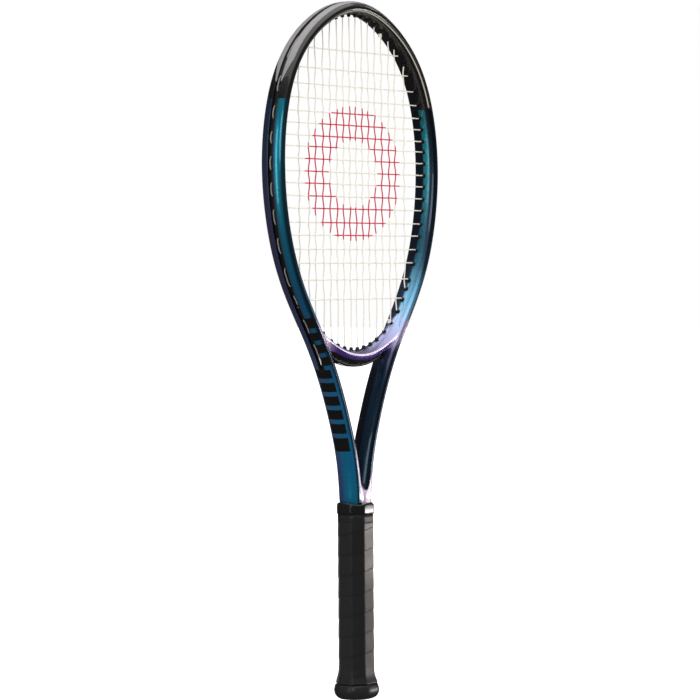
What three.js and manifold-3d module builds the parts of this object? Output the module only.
// Tennis racket, millimetres, +Z up along the racket.
// Origin: middle of the butt end. X runs across the head, Y through its
// thickness, and the string bed lies in the plane Y = 0 (front is -Y).
import * as THREE from 'three';
import { mergeVertices } from 'three/addons/utils/BufferGeometryUtils.js';
import Module from 'manifold-3d';

const wasm = await Module();
wasm.setup();

// ---------------------------------------------------------------- dimensions
const LENGTH = 685.8;            // 27 in overall
const BUMPER_T = 1.1;            // bumper guard proud of the frame at the tip
// Centre line of the carbon tube, right half, from the head tip down into the
// handle: [x, z].
const CENTRE = [
  [0, 679.0], [17.9, 677.3], [35.26, 672.65], [51.82, 665.6], [67.44, 656.7],
  [81.93, 646.05], [94.96, 633.6], [106.05, 619.5], [114.9, 603.8],
  [121.55, 587.1], [126.26, 569.75], [129.35, 552.0], [130.94, 534.1],
  [131.08, 516.1], [129.86, 498.1], [127.35, 480.3], [123.59, 462.7],
  [118.53, 445.45], [112.1, 428.65], [104.24, 412.5], [95.1, 397.0],
  [85.04, 382.0], [74.64, 367.3], [64.51, 352.5], [54.99, 337.2],
  [46.25, 321.5], [38.3, 305.3], [31.1, 288.8], [24.6, 272.0], [18.95, 256.0],
  [15.95, 246.0], [13.35, 236.0], [11.35, 226.0], [9.7, 216.0], [8.3, 206.0],
  [7.7, 196.0], [6.4, 186.0], [5.65, 176.0], [5.3, 160.0], [5.3, 120.0],
  [5.3, 70.0], [5.3, 17.0],
];
// Section of the tube against height: [z, width in the string plane, depth].
const SECTION = [
  [17, 11.2, 17], [160, 11.2, 17], [176, 11.9, 18.5], [186, 13.4, 20.6],
  [196, 16.2, 23.6], [206, 16.4, 23.8], [216, 15.0, 23.8], [226, 13.9, 23.7],
  [246, 12.9, 23.6], [272, 12.2, 23.4], [330, 11.7, 23.6], [430, 11.4, 25.2],
  [520, 11.4, 25.6], [600, 11.4, 24.6], [660, 11.5, 24.0], [690, 11.6, 23.8],
];
const ROUND = 2.5;               // superellipse exponent of the section
const CHANNEL_HALF = 3.2;        // grommet channel, half width
const CHANNEL_DEEP = 2.7;        // grommet channel, depth
const WALL = 1.5;                // carbon wall
const GAP = 0.3;                 // running gap between touching pieces

const MAINS = [5.34, 16.36, 27.56, 38.97, 51.45, 63.95, 76.88, 92.12];   // |x|
const CROSSES = [640.63, 619.27, 603.38, 589.48, 576.31, 564.71, 552.72,
  542.0, 530.17, 517.92, 506.21, 493.99, 481.75, 468.15, 455.58, 441.7,
  428.16, 411.8, 392.47];                                                // z
const STRING_HALF = 0.56;        // half side of the plain string section
const BARREL_R = 1.9, BORE_R = 1.2, SIDES = 6;
const MIN_PITCH = 9.0;           // least spacing of two grommets on the hoop
const BUMPER_END = 148.5, STRIP_START = 150.5, STRIP_END = 441;
// Lower holes of the fifth and sixth mains, which leave through the fillets of
// the bridge: place along the tube, and how far the barrel stands inside.
const LOW_HOLE = { 4: { s: 413.5, reach: 10.0 }, 5: { s: 400, reach: 3.0 } };   // along the tube

// Throat bridge: the upper and lower edges of its arch, z against x.
const bridgeTop = (x) => 343.6 + 0.0059 * x * x;
const bridgeLow = (x) => 329.7 + 0.0050 * x * x;
const BRIDGE_DEPTH = 22.4, BRIDGE_END = 71, BRIDGE_ROUND = 1.9;
const LINK_S = 437;              // extra hole through each shaft, see the main string

// Handle octagon over the grip: half sizes and bevel legs.
const GRIP = { hx: 17.86, hy: 15.89, cx: 9.8, cy: 8.5 };
const GRIP_T = 1.7;              // thickness of the grip wrap
const GRIP_Z0 = 15.0, GRIP_Z1 = 184.6;
const TAPE_Z0 = 174.0, TAPE_Z1 = 184.3;
const COLLAR_Z0 = 182.4, COLLAR_Z1 = 193.4;
// Flare of the butt: growth of the octagon against height.
const FLARE = [[15, 3.55], [18, 2.5], [21.5, 1.3], [25.5, 0.5], [30, 0]];
const BUTT = [[0, -2.6], [0.7, 0.2], [2.0, 2.3], [4.4, 4.1], [7.8, 4.95],
  [11.2, 4.6], [14.4, 3.45]];
const DOOR = { hx: 9.6, hy: 7.4, cx: 4.0, cy: 3.4 };

// ------------------------------------------------------------------ helpers
function lerpTable(table, z, k) {
  if (z <= table[0][0]) return table[0][k];
  for (let i = 1; i < table.length; i++) {
    if (z <= table[i][0]) {
      const f = (z - table[i - 1][0]) / (table[i][0] - table[i - 1][0]);
      return table[i - 1][k] + f * (table[i][k] - table[i - 1][k]);
    }
  }
  return table[table.length - 1][k];
}

function signedVolume(pos, tri) {
  let v = 0;
  for (let i = 0; i < tri.length; i += 3) {
    const a = pos[tri[i]], b = pos[tri[i + 1]], c = pos[tri[i + 2]];
    v += a.x * (b.y * c.z - b.z * c.y) + a.y * (b.z * c.x - b.x * c.z)
       + a.z * (b.x * c.y - b.y * c.x);
  }
  return v;
}

// Closed solid through a list of rings that have the same number of points.
// flat gives the 2-D outline of a ring, from which its end caps are made.
function loft(rings, flat) {
  const n = rings[0].length, m = rings.length, pos = [].concat(...rings), tri = [];
  for (let i = 0; i < m - 1; i++) {
    for (let j = 0; j < n; j++) {
      const a = i * n + j, b = i * n + (j + 1) % n, c = a + n, d = b + n;
      tri.push(a, b, c, b, d, c);
    }
  }
  // A cap's triangles turn the same way as its outline does.
  const cap = (outline) => {
    const ccw = THREE.ShapeUtils.area(outline) > 0;
    return THREE.ShapeUtils.triangulateShape(outline, []).map((t) => {
      const a = THREE.ShapeUtils.area(t.map((i) => outline[i])) > 0;
      return a === ccw ? t : [t[0], t[2], t[1]];
    });
  };
  for (const t of cap(flat[0])) tri.push(t[2], t[1], t[0]);
  for (const t of cap(flat[1])) {
    tri.push((m - 1) * n + t[0], (m - 1) * n + t[1], (m - 1) * n + t[2]);
  }
  if (signedVolume(pos, tri) < 0) {
    for (let i = 0; i < tri.length; i += 3) [tri[i], tri[i + 1]] = [tri[i + 1], tri[i]];
  }
  const g = new THREE.BufferGeometry();
  g.setAttribute('position', new THREE.Float32BufferAttribute(
    pos.flatMap((p) => [p.x, p.y, p.z]), 3));
  g.setIndex(tri);
  return g;
}

function solid(geometry) {
  let g = geometry.clone();
  g.deleteAttribute('normal');
  g.deleteAttribute('uv');
  g = mergeVertices(g, 1e-4);
  return new wasm.Manifold(new wasm.Mesh({
    numProp: 3,
    vertProperties: new Float32Array(g.attributes.position.array),
    triVerts: new Uint32Array(g.index.array),
  }));
}

function geometryOf(manifold) {
  const mesh = manifold.getMesh();
  const g = new THREE.BufferGeometry();
  g.setAttribute('position', new THREE.Float32BufferAttribute(
    Float32Array.from(mesh.vertProperties), 3));
  g.setIndex(new THREE.Uint32BufferAttribute(Uint32Array.from(mesh.triVerts), 1));
  return g;
}

function largest(manifold) {
  const parts = manifold.decompose();
  parts.sort((a, b) => b.volume() - a.volume());
  return parts[0];
}

const joinAll = (list) => list.reduce((a, b) => a.add(b));

// ------------------------------------------------------- tube centre line
const full = [
  ...CENTRE.slice(1).reverse().map(([x, z]) => new THREE.Vector3(-x, 0, z)),
  ...CENTRE.map(([x, z]) => new THREE.Vector3(x, 0, z)),
];
const spine = new THREE.CatmullRomCurve3(full, false, 'centripetal');
spine.arcLengthDivisions = 2400;
const SPINE_LEN = spine.getLength();
const HALF_LEN = SPINE_LEN / 2;

// Point, direction and outward normal at arc length s from the head tip
// (positive on the right half).
function station(s) {
  const u = Math.min(1, Math.max(0, 0.5 + s / SPINE_LEN));
  const p = spine.getPointAt(u), t = spine.getTangentAt(u);
  t.y = 0; t.normalize();
  if (Math.abs(s) < 0.01) t.set(1, 0, 0);
  return { p, t, n: new THREE.Vector3(-t.z, 0, t.x) };
}
const halfW = (z) => lerpTable(SECTION, z, 1) / 2;
const halfT = (z) => lerpTable(SECTION, z, 2) / 2;
const channelAt = (z) => CHANNEL_DEEP * Math.min(1, Math.max(0.012, (z - 325) / 4));

const se = (t) => [Math.sign(Math.cos(t)) * Math.abs(Math.cos(t)) ** (2 / ROUND),
  Math.sign(Math.sin(t)) * Math.abs(Math.sin(t)) ** (2 / ROUND)];
const superU = (a, b, v) => a * (1 - (Math.abs(v) / b) ** ROUND) ** (1 / ROUND);

// Section outline as [u, v]: u outward in the string plane, v along Y.
function tubeSection(z, grow = 0) {
  const a = halfW(z) + grow, b = halfT(z) + grow, d = channelAt(z);
  const cw = CHANNEL_HALF - grow, lip = superU(a, b, cw);
  const up = [[lip - d, cw * 0.92], [lip, cw]];
  for (const deg of [38, 70, 110, 142]) {
    const [c, s] = se(deg * Math.PI / 180);
    up.push([a * c, b * s]);
  }
  return [...up, [-a, 0], ...up.slice().reverse().map(([u, v]) => [u, -v])];
}
function coreSection(z) {
  const a = halfW(z), b = halfT(z), d = channelAt(z);
  const out = a - d - WALL + 0.1, inn = -(a - WALL);
  const mid = (out + inn) / 2, w = (out - inn) / 2, h = b - WALL - 0.3;
  const pts = [];
  for (let i = 0; i < 6; i++) {
    const [c, s] = se(((i + 0.5) / 6) * 2 * Math.PI);
    pts.push([mid + w * c, h * s]);
  }
  return pts;
}
const place = (st, [u, v]) => new THREE.Vector3(
  st.p.x + st.n.x * u, v, st.p.z + st.n.z * u);

function sweep(stations, outline) {
  const rings = [], flats = [];
  for (const s of stations) {
    const st = station(s), o = outline(st.p.z, s);
    rings.push(o.map((q) => place(st, q)));
    flats.push(o.map(([u, v]) => new THREE.Vector2(u, v)));
  }
  return loft(rings, [flats[0], flats[flats.length - 1]]);
}
function steps(from, to, size) {
  const n = Math.max(1, Math.round((to - from) / size)), out = [];
  for (let i = 0; i <= n; i++) out.push(from + (i / n) * (to - from));
  return out;
}
// Longer steps in the straight handle than round the head.
const halfStations = [-1.2, ...steps(0, STRIP_START, 11.6), ...steps(STRIP_START, STRIP_END, 12.6).slice(1),
  ...steps(STRIP_END, 449, 4).slice(1), ...steps(449, HALF_LEN - 150, 12).slice(1), HALF_LEN - 100, HALF_LEN];
const between = (from, to) => [from, ...halfStations.filter((s) => s > from + 0.5 && s < to - 0.5), to];

const mirrorX = (g) => {
  const m = g.clone(), p = m.attributes.position;
  for (let i = 0; i < p.count; i++) p.setX(i, -p.getX(i));
  const ix = Array.from(m.index.array);
  for (let i = 0; i < ix.length; i += 3) [ix[i], ix[i + 1]] = [ix[i + 1], ix[i]];
  m.setIndex(ix);
  return m;
};

// ------------------------------------------------------------ string holes
// Every hole is drilled square to the tube. It starts where its string meets
// the inner wall of the hoop, and neighbours keep at least MIN_PITCH.
function innerPoint(s) {
  const st = station(s);
  return place(st, [-halfW(st.p.z), 0]);
}
function solveStation(test, from, to) {
  let best = from, err = Infinity;
  for (let s = from; s <= to; s += 0.25) {
    const e = Math.abs(test(innerPoint(s)));
    if (e < err) { err = e; best = s; }
  }
  return best;
}
let holes = [];
MAINS.forEach((x, i) => {
  holes.push({ kind: 'main', i, top: true, s: solveStation((p) => p.x - x, 0, 200) });
  if (i >= 4) {
    holes.push({ kind: 'main', i, top: false,
      s: LOW_HOLE[i] ? LOW_HOLE[i].s : solveStation((p) => p.x - x, 300, 440) });
  }
});
CROSSES.forEach((z, i) => {
  holes.push({ kind: 'cross', i, s: solveStation((p) => p.z - z, 60, 400) });
});
holes.push({ kind: 'link', i: 0, s: LINK_S });
holes.sort((a, b) => a.s - b.s);
for (let pass = 0; pass < 400; pass++) {
  for (let i = 1; i < holes.length; i++) {
    const lack = MIN_PITCH - (holes[i].s - holes[i - 1].s);
    if (lack > 0) { holes[i].s += lack / 2; holes[i - 1].s -= lack / 2; }
  }
}
const holeOf = (kind, i, top) => holes.find((h) => h.kind === kind && h.i === i
  && (kind === 'cross' || h.top === top));

function rod(from, to, r, sides = SIDES) {
  const d = new THREE.Vector3().subVectors(to, from), len = d.length();
  const g = new THREE.CylinderGeometry(r, r, len, sides);
  if (sides === 4) g.rotateY(Math.PI / 4);
  // The cylinder's axis goes to the rod's direction, with Y of the world kept
  // as its flat reference, so bores and barrels stay in step.
  const z = d.clone().normalize();
  const y = Math.abs(z.y) < 0.9 ? new THREE.Vector3(0, 1, 0) : new THREE.Vector3(0, 0, 1);
  const x = new THREE.Vector3().crossVectors(z, y).normalize();
  const m = new THREE.Matrix4().makeBasis(x, z, new THREE.Vector3().crossVectors(x, z));
  g.applyMatrix4(m);
  const mid = from.clone().add(to).multiplyScalar(0.5);
  g.translate(mid.x, mid.y, mid.z);
  return g;
}
// A rod along the hole at signed station s, between two depths u.
function holeRod(s, u0, u1, r, sides = SIDES) {
  const st = station(s);
  return solid(rod(place(st, [u0, 0]), place(st, [u1, 0]), r, sides));
}
const reach = (h) => (h.kind === 'main' && !h.top && LOW_HOLE[h.i] ? LOW_HOLE[h.i].reach : 1.6);

// ------------------------------------------------------------------- pieces
const root = new THREE.Group();
function piece(name, geometry, colour, roughness, metalness = 0) {
  const mesh = new THREE.Mesh(geometry, new THREE.MeshStandardMaterial({
    color: colour, roughness, metalness, flatShading: true }));
  mesh.name = name;
  root.add(mesh);
  return mesh;
}

// Carbon hoop and shafts: one hollow hairpin tube.
const outerHalf = sweep(halfStations, (z) => tubeSection(z));
const coreHalf = sweep([-1.2, ...steps(13, 150, 14), ...steps(150, 455, 22).slice(1),
  ...steps(455, HALF_LEN - 190, 24).slice(1), HALF_LEN - 170, HALF_LEN - 150, HALF_LEN], (z) => coreSection(z));
// The core runs past both butt ends of the legs.
const exits = [];
for (const side of [1, -1]) {
  const st = station(side * HALF_LEN);
  const o = coreSection(17).map(([u, v]) => [u * 0.98, v * 0.98]);
  const ring = (dz) => o.map(([u, v]) => new THREE.Vector3(
    st.p.x + st.n.x * u, v, st.p.z + dz));
  const f = o.map(([u, v]) => new THREE.Vector2(u, v));
  exits.push(solid(loft([ring(6), ring(-3)], [f, f])));
}
const outerTube = solid(outerHalf).add(solid(mirrorX(outerHalf)));
const core = joinAll([solid(coreHalf), solid(mirrorX(coreHalf)), ...exits]);
const drill = [];
for (const h of holes) {
  for (const side of [1, -1]) drill.push(holeRod(side * h.s, 9, -10.4 - reach(h), (BARREL_R + GAP) * Math.SQRT2, 4));
}
const drills = joinAll(drill);
const hairpin = largest(outerTube.subtract(core).subtract(drills));
piece('hoop_and_shafts', geometryOf(hairpin), 0x14405c, 0.22, 0.25);

// Throat bridge: a hollow arch let in between the shafts.
function archSection(x, grow = 0, inner = false) {
  const top = bridgeTop(x), low = bridgeLow(x);
  const a = (top - low) / 2 + grow - (inner ? WALL : 0);
  const b = BRIDGE_DEPTH / 2 + grow - (inner ? WALL + 0.3 : 0);
  const o = [], count = inner ? 8 : 14;
  for (let i = 0; i < count; i++) {
    const t = (i / count) * 2 * Math.PI, c = Math.cos(t), v = Math.sin(t);
    o.push([a * Math.sign(c) * Math.abs(c) ** (2 / BRIDGE_ROUND),
      b * Math.sign(v) * Math.abs(v) ** (2 / BRIDGE_ROUND)]);
  }
  return { x, z: (top + low) / 2, o };
}
function arch(from, to, count, grow, inner) {
  const rings = [];
  let f0;
  for (let i = 0; i <= count; i++) {
    const q = archSection(from + (i / count) * (to - from), grow, inner);
    rings.push(q.o.map(([u, v]) => new THREE.Vector3(q.x, v, q.z + u)));
    f0 = q.o.map(([u, v]) => new THREE.Vector2(u, v));
  }
  return solid(loft(rings, [f0, f0]));
}
const grown = sweep(halfStations.filter((s) => s > 340 && s < 500), (z) => tubeSection(z, GAP));
const shaftsGrown = solid(grown).add(solid(mirrorX(grown)));
const throatHoles = [];
for (const x of MAINS.slice(0, 4).flatMap((v) => [v, -v])) {
  throatHoles.push({ x });
}
const throatRod = (x, z0, z1, r, sides = SIDES) => solid(rod(
  new THREE.Vector3(x, 0, z0), new THREE.Vector3(x, 0, z1), r, sides));
let bridge = arch(-BRIDGE_END, BRIDGE_END, 18, 0, false)
  .subtract(arch(-BRIDGE_END + 8, BRIDGE_END - 8, 10, 0, true))
  .subtract(shaftsGrown).subtract(drills);
for (const h of throatHoles) {
  bridge = bridge.subtract(throatRod(h.x, 320, 360, (BARREL_R + GAP) * Math.SQRT2, 4));
}
bridge = largest(bridge);
piece('throat_bridge', geometryOf(bridge), 0x3a2068, 0.22, 0.2);

// Grommet parts: a strip on the floor of the channel with a barrel for every
// string, each barrel ending just inside the hoop.
const stripOutline = (z) => {
  const a = superU(halfW(z), halfT(z), CHANNEL_HALF), d = channelAt(z);
  return [[a - d + 0.38, -2.35], [a - d + 0.38, 2.35], [a - d + 0.95, 2.35], [a - d + 0.95, -2.35]];
};
function barrels(list, side) {
  return list.map((h) => {
    const st = station(h.s), a = halfW(st.p.z);
    return holeRod(side * h.s, a - CHANNEL_DEEP + 0.5, -a - reach(h), BARREL_R);
  });
}
function bores(list, side) {
  return joinAll(list.map((h) => holeRod(side * h.s, 9, -13.4 - reach(h), BORE_R, 4)));
}
const sideHoles = holes.filter((h) => h.s > STRIP_START && h.s < STRIP_END);
const headHoles = holes.filter((h) => h.s < BUMPER_END);
for (const [side, name] of [[1, 'right'], [-1, 'left']]) {
  const half = sweep(between(STRIP_START + 1, STRIP_END), stripOutline);
  const strip = solid(side > 0 ? half : mirrorX(half));
  const all = joinAll([strip, ...barrels(sideHoles, side)]).subtract(bores(sideHoles, side));
  piece(`side_grommet_strip_${name}`, geometryOf(largest(all)), 0x101013, 0.5);
}

// Bumper guard: wraps the outside of the head, dips into the channel as the
// top grommet strip, and leaves a groove for the string loops.
const bumperOutline = (z, s) => {
  const a = halfW(z), b = halfT(z);
  const end = Math.min(1, (BUMPER_END + 0.5 - Math.abs(s)) / 16);   // thins out at the tails
  const t = 0.45 + (BUMPER_T - 0.45) * end;
  const lip = superU(a, b, CHANNEL_HALF);
  const wrap = 6.2 + 2.4 * end;
  const sk = (v, off) => superU(a, b, v) + off;
  const up = [
    [lip - CHANNEL_DEEP + 0.95, 2.05],
    [sk(2.3, t), 2.5],
    [sk(5.4, t), 5.4],
    [sk(wrap, t * 0.75) , wrap],
    [sk(wrap, 0.3), wrap + 0.1],
    [sk(4.6, 0.3), 4.6],
    [lip + 0.3, 2.8],
    [lip - CHANNEL_DEEP + 0.38, 2.6],
  ];
  return [...up, ...up.slice().reverse().map(([u, v]) => [u, -v])];
};
{
  const guard = solid(sweep([...between(0, BUMPER_END).slice(1).reverse().map((v) => -v),
    ...between(0, BUMPER_END)], bumperOutline));
  const list = [...barrels(headHoles, 1), ...barrels(headHoles, -1)];
  const all = joinAll([guard, ...list])
    .subtract(bores(headHoles, 1)).subtract(bores(headHoles, -1));
  piece('bumper_guard', geometryOf(largest(all)), 0x1b1b1d, 0.55);
}

// Throat grommet strip: under the bridge, with eight barrels up through it.
{
  const rings = [];
  let f;
  for (let i = 0; i <= 10; i++) {
    const x = -43.5 + (i / 10) * 87, z = bridgeLow(x) - 0.3;
    f = [[-2.3, -3.4], [-2.3, -2.0], [-0.95, -1.9], [-0.95, 1.9], [-2.3, 2.0], [-2.3, 3.4],
      [0, 3.9], [0, -3.9]];
    rings.push(f.map(([u, v]) => new THREE.Vector3(x, v, z + u)));
  }
  const flat = f.map(([u, v]) => new THREE.Vector2(u, v));
  let strip = solid(loft(rings, [flat, flat]));
  for (const h of throatHoles) {
    strip = strip.add(throatRod(h.x, bridgeLow(h.x) - 0.7, bridgeTop(h.x) + 2.6, BARREL_R));
  }
  for (const h of throatHoles) strip = strip.subtract(throatRod(h.x, 315, 365, BORE_R, 4));
  piece('throat_grommet_strip', geometryOf(largest(strip)), 0x0e0e10, 0.45);
}

// ------------------------------------------------------------------ strings
// Plain square strands with mitred corners. Inside the hoop the mains lie just
// in front of the crosses; in their grommets and loops both run at Y = 0.
function strand(points) {
  const h = STRING_HALF, rings = [];
  for (let i = 0; i < points.length; i++) {
    const p = points[i];
    const a = i > 0 ? p.clone().sub(points[i - 1]).normalize() : null;
    const b = i < points.length - 1 ? points[i + 1].clone().sub(p).normalize() : null;
    const t = a && b ? a.clone().add(b).normalize() : (a || b);
    const n = new THREE.Vector2(-t.y, t.x);
    const k = a && b ? Math.min(1.6, 1 / Math.max(0.4, Math.abs(n.dot(new THREE.Vector2(-a.y, a.x))))) : 1;
    const off = (q, v) => new THREE.Vector3(
      p.x + n.x * q * h * k, (p.depth || 0) + v * h, p.y + n.y * q * h * k);
    rings.push([off(-1, -1), off(1, -1), off(1, 1), off(-1, 1)]);
  }
  const f = [[-1, -1], [1, -1], [1, 1], [-1, 1]].map(([u, v]) => new THREE.Vector2(u * h, v * h));
  return loft(rings, [f, f]);
}
const v2 = (p) => new THREE.Vector2(p.x, p.z);
const onChannel = (s) => {
  const st = station(s), z = st.p.z;
  return v2(place(st, [superU(halfW(z), halfT(z), CHANNEL_HALF) - 0.95, 0]));
};
const mouth = (s, out = 2.4) => {
  const st = station(s);
  return v2(place(st, [-halfW(st.p.z) - out, 0]));
};
// The stretch between two mouths, moved off the middle plane.
function bed(from, to, depth) {
  const d = to.clone().sub(from), lead = 4.2 / d.length();
  return [lead, 1 - lead].map((f) => {
    const q = from.clone().addScaledVector(d, f);
    q.depth = depth;
    return q;
  });
}
// Loop in the channel between two holes of the hoop.
// Mains and crosses keep to their own side of the channel, so they can pass.
function channelLoop(s0, s1, depth) {
  const dir = Math.sign(s1 - s0), from = s0 + dir * 3.2, to = s1 - dir * 3.2;
  const n = Math.max(1, Math.ceil(Math.abs(to - from) / 8)), out = [];
  for (let i = 0; i <= n; i++) {
    const q = onChannel(from + (i / n) * (to - from));
    q.depth = depth;
    out.push(q);
  }
  return out;
}
const MAIN_Y = -0.78, CROSS_Y = 0.78, LOOP_Y = 1.32;
const mainX = [...MAINS.slice().reverse().map((x) => -x), ...MAINS];
const mainEnd = (k, top) => {
  const i = k < 8 ? 7 - k : k - 8, side = k < 8 ? -1 : 1;
  if (!top && i < 4) return { throat: true, x: mainX[k], side };
  const h = holeOf('main', i, top);
  return { s: side * h.s, side, far: reach(h) + 0.8 };
};
{
  // From the left outermost main, which starts at the bottom, to the right one.
  const pts = [];
  const passUp = (k) => {
    const e = mainEnd(k, false), t = mainEnd(k, true);
    const low = e.throat ? [new THREE.Vector2(e.x, bridgeLow(e.x) - 2.0),
      new THREE.Vector2(e.x, bridgeTop(e.x) + 3.1)] : [onChannel(e.s), mouth(e.s, e.far)];
    const high = [mouth(t.s, t.far), onChannel(t.s)];
    return [...low, ...bed(low[1], high[0], MAIN_Y), ...high];
  };
  for (let k = 0; k < 16; k++) {
    const up = k % 2 === 0;               // the first main is travelled upward
    const run = passUp(k);
    const pass = up ? run : run.slice().reverse();
    pts.push(...pass);
    if (k === 15) break;
    const top = up, a = mainEnd(k, top), b = mainEnd(k + 1, top);
    if (a.throat && b.throat) {
      const n = Math.max(1, Math.round(Math.abs(b.x - a.x) / 8));
      for (let i = 1; i < n; i++) {
        const x = a.x + (i / n) * (b.x - a.x);
        pts.push(new THREE.Vector2(x, bridgeLow(x) - 2.0));
      }
    } else if (!a.throat && !b.throat) {
      pts.push(...channelLoop(a.s, b.s, -LOOP_Y));
    } else {
      // Between the last main in the bridge and the first in the hoop the
      // string goes through the shaft and up the channel.
      const side = b.side, link = side * LINK_S, edge = side * holeOf('main', 4, false).s;
      const run = [mouth(link, 2.2), onChannel(link), ...channelLoop(link, edge, -LOOP_Y)];
      pts.push(...(a.throat ? run : run.slice().reverse()));
    }
  }
  // Drop points that repeat.
  const clean = pts.filter((p, i) => i === 0 || p.distanceTo(pts[i - 1]) > 0.2);
  piece('main_string', strand(clean), 0xe9e3d2, 0.4);
}
{
  const pts = [];
  CROSSES.forEach((z, i) => {
    const h = holeOf('cross', i), right = [onChannel(h.s), mouth(h.s)];
    const left = [mouth(-h.s), onChannel(-h.s)];
    const toLeft = i % 2 === 0;           // the first cross starts on the right
    const run = [...right, ...bed(right[1], left[0], CROSS_Y), ...left];
    pts.push(...(toLeft ? run : run.slice().reverse()));
    if (i < CROSSES.length - 1) {
      const n = holeOf('cross', i + 1), side = toLeft ? -1 : 1;
      pts.push(...channelLoop(side * h.s, side * n.s, LOOP_Y));
    }
  });
  const clean = pts.filter((p, i) => i === 0 || p.distanceTo(pts[i - 1]) > 0.2);
  piece('cross_string', strand(clean), 0xe9e3d2, 0.4);
}

// Tie-off knots, one at each string end, tight against a grommet's mouth.
function knot(name, h, side, y) {
  const st = station(side * h.s), p = place(st, [-halfW(st.p.z) - reach(h) - 1.8, 0]);
  const g = new THREE.IcosahedronGeometry(1.45, 1);
  g.deleteAttribute('normal'); g.deleteAttribute('uv');
  const m = mergeVertices(g, 1e-4);
  m.translate(p.x, y, p.z);
  piece(name, m, 0xe9e3d2, 0.45);
}
knot('main_knot_right', holeOf('main', 5, false), 1, 2.2);
knot('main_knot_left', holeOf('main', 5, false), -1, 2.2);
knot('cross_knot_top', holeOf('main', 4, true), 1, 2.2);
knot('cross_knot_bottom', holeOf('main', 6, false), -1, 2.2);

// ------------------------------------------------------------------- handle
function octagon(z, grow, base = GRIP) {
  const hx = base.hx + grow, hy = base.hy + grow;
  const k = Math.tan(Math.PI / 8) * grow;
  const cx = Math.max(1, base.cx + grow - k), cy = Math.max(1, base.cy + grow - k);
  return [[hx, -(hy - cy)], [hx, hy - cy], [hx - cx, hy], [-(hx - cx), hy],
    [-hx, hy - cy], [-hx, -(hy - cy)], [-(hx - cx), -hy], [hx - cx, -hy]]
    .map(([x, y]) => new THREE.Vector3(x, y, z));
}
function octLoft(rows, base = GRIP) {
  const rings = rows.map(([z, g]) => octagon(z, g, base));
  const f = (r) => r.map((p) => new THREE.Vector2(p.x, p.y));
  return solid(loft(rings, [f(rings[0]), f(rings[rings.length - 1])]));
}
const gripFace = (z) => (z < 30 ? lerpTable(FLARE, z, 1) : 0);

// Butt cap: the flared end, hollow, with a doorway in its floor.
const capRows = [...BUTT.map(([z, g]) => [z, g]),
  [14.6, gripFace(15) - GRIP_T - GAP],
  ...[15.0, 18, 21.5, 25.5, 30].map((z) => [z + 0.2, gripFace(z) - GRIP_T - GAP])];
let cap = octLoft(capRows)
  .subtract(octLoft([[3.0, -4.9], [34, -4.9]]))
  .subtract(octLoft([[-1, 0.35], [4, 0.35]], DOOR));
// Handle pallet: moulded round the two legs of the hairpin.
const legsHalf = sweep(halfStations.filter((s) => s > HALF_LEN - 190), (z) => {
  return tubeSection(z, GAP);
});
const legs = solid(legsHalf).add(solid(mirrorX(legsHalf)));
const below = [];
for (const side of [1, -1]) {
  const st = station(side * HALF_LEN);
  const o = tubeSection(17, GAP);
  const ring = (dz) => o.map(([u, v]) => new THREE.Vector3(
    st.p.x + st.n.x * u, v, st.p.z + dz));
  const f = o.map(([u, v]) => new THREE.Vector2(u, v));
  below.push(solid(loft([ring(8), ring(-6)], [f, f])));
}
let pallet = octLoft([[13.0, -5.2], [30.6, -5.2], [30.7, -2.0], [186, -2.0]])
  .subtract(joinAll([legs, ...below]));

// Staples hold the cap to the pallet, and a tack holds the start of the grip.
const boxAt = (x0, x1, y0, y1, z0, z1, g = 0) => {
  const b = new THREE.BoxGeometry(x1 - x0 + 2 * g, y1 - y0 + 2 * g, z1 - z0 + 2 * g);
  b.translate((x0 + x1) / 2, (y0 + y1) / 2, (z0 + z1) / 2);
  return solid(b);
};
const staple = (side, g) => {
  const z = 24, lo = side > 0 ? [11.4, 16.0] : [-16.0, -11.4];
  const cr = side > 0 ? [15.4, 16.0] : [-16.0, -15.4];
  return joinAll([boxAt(cr[0], cr[1], -4.5, 4.5, z - 0.5, z + 0.5, g),
    boxAt(lo[0], lo[1], -4.5, -3.8, z - 0.5, z + 0.5, g),
    boxAt(lo[0], lo[1], 3.8, 4.5, z - 0.5, z + 0.5, g)]);
};
for (const side of [1, -1]) {
  cap = cap.subtract(staple(side, 0.28));
  pallet = pallet.subtract(staple(side, 0.28));
}
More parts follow.
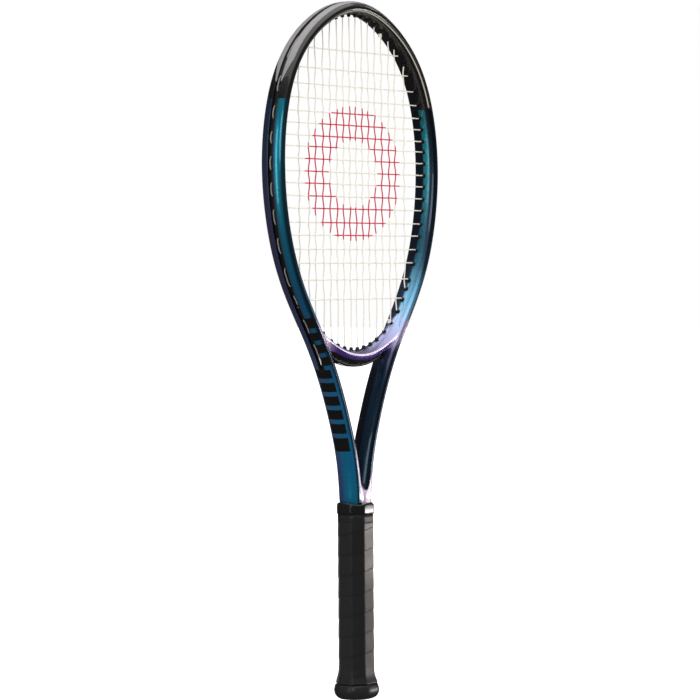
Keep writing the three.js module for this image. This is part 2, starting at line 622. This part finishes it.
const tack = (g) => {
  const y = GRIP.hy - 2.0;
  const shank = rod(new THREE.Vector3(0, y - 3.6 - g, 38), new THREE.Vector3(0, y - 0.1, 38), 0.55 + g, 8);
  const head = rod(new THREE.Vector3(0, y - 0.75 - g, 38), new THREE.Vector3(0, y - 0.1 + g, 38), 2.0 + g, 10);
  return solid(shank).add(solid(head));
};
pallet = pallet.subtract(tack(0.28));
piece('handle_pallet', geometryOf(largest(pallet)), 0x8a8478, 0.8);
piece('butt_cap', geometryOf(largest(cap)), 0x1a1a1c, 0.5);
piece('butt_staple_right', geometryOf(staple(1, 0)), 0xb8bcc0, 0.3, 1);
piece('butt_staple_left', geometryOf(staple(-1, 0)), 0xb8bcc0, 0.3, 1);
piece('grip_tack', geometryOf(tack(0)), 0xb8bcc0, 0.3, 1);

// Trap door: an oval plug with a snap skirt that fills the doorway.
{
  const door = octLoft([[0.25, -0.05], [3.1, -0.05], [3.15, -0.6], [9.5, -0.6]], DOOR)
    .subtract(octLoft([[2.6, -1.8], [10, -1.8]], DOOR));
  piece('trap_door', geometryOf(largest(door)), 0x19191b, 0.45);
}

// Grip wrap, finishing tape and rubber collar.
{
  const outer = [...FLARE.slice(0, 4).map(([z, g]) => [z, g]), [30, 0], [173.5, 0],
    [173.7, -0.65], [GRIP_Z1, -0.65]];
  const inner = [[14, FLARE[0][1] - GRIP_T + 0.35], ...FLARE.slice(0, 4).map(([z, g]) => [z, g - GRIP_T]),
    [30, -GRIP_T], [190, -GRIP_T]];
  piece('grip_wrap', geometryOf(largest(octLoft(outer).subtract(octLoft(inner)))), 0x202022, 0.7);
  const tape = octLoft([[TAPE_Z0, 0], [TAPE_Z1, 0]])
    .subtract(octLoft([[TAPE_Z0 - 2, -0.38], [TAPE_Z1 + 2, -0.38]]));
  piece('finishing_tape', geometryOf(tape), 0x151516, 0.45);
  const collar = octLoft([[COLLAR_Z0, 0.85], [COLLAR_Z1 - 1.2, 1.1], [COLLAR_Z1, 0.6]])
    .subtract(octLoft([[COLLAR_Z0 - 2, 0.3], [COLLAR_Z1 - 1.6, 0.3], [COLLAR_Z1 - 1.5, -0.7], [COLLAR_Z1 + 2, -0.7]]));
  piece('rubber_collar', geometryOf(collar), 0x0c0c0d, 0.3);
}

export default root;
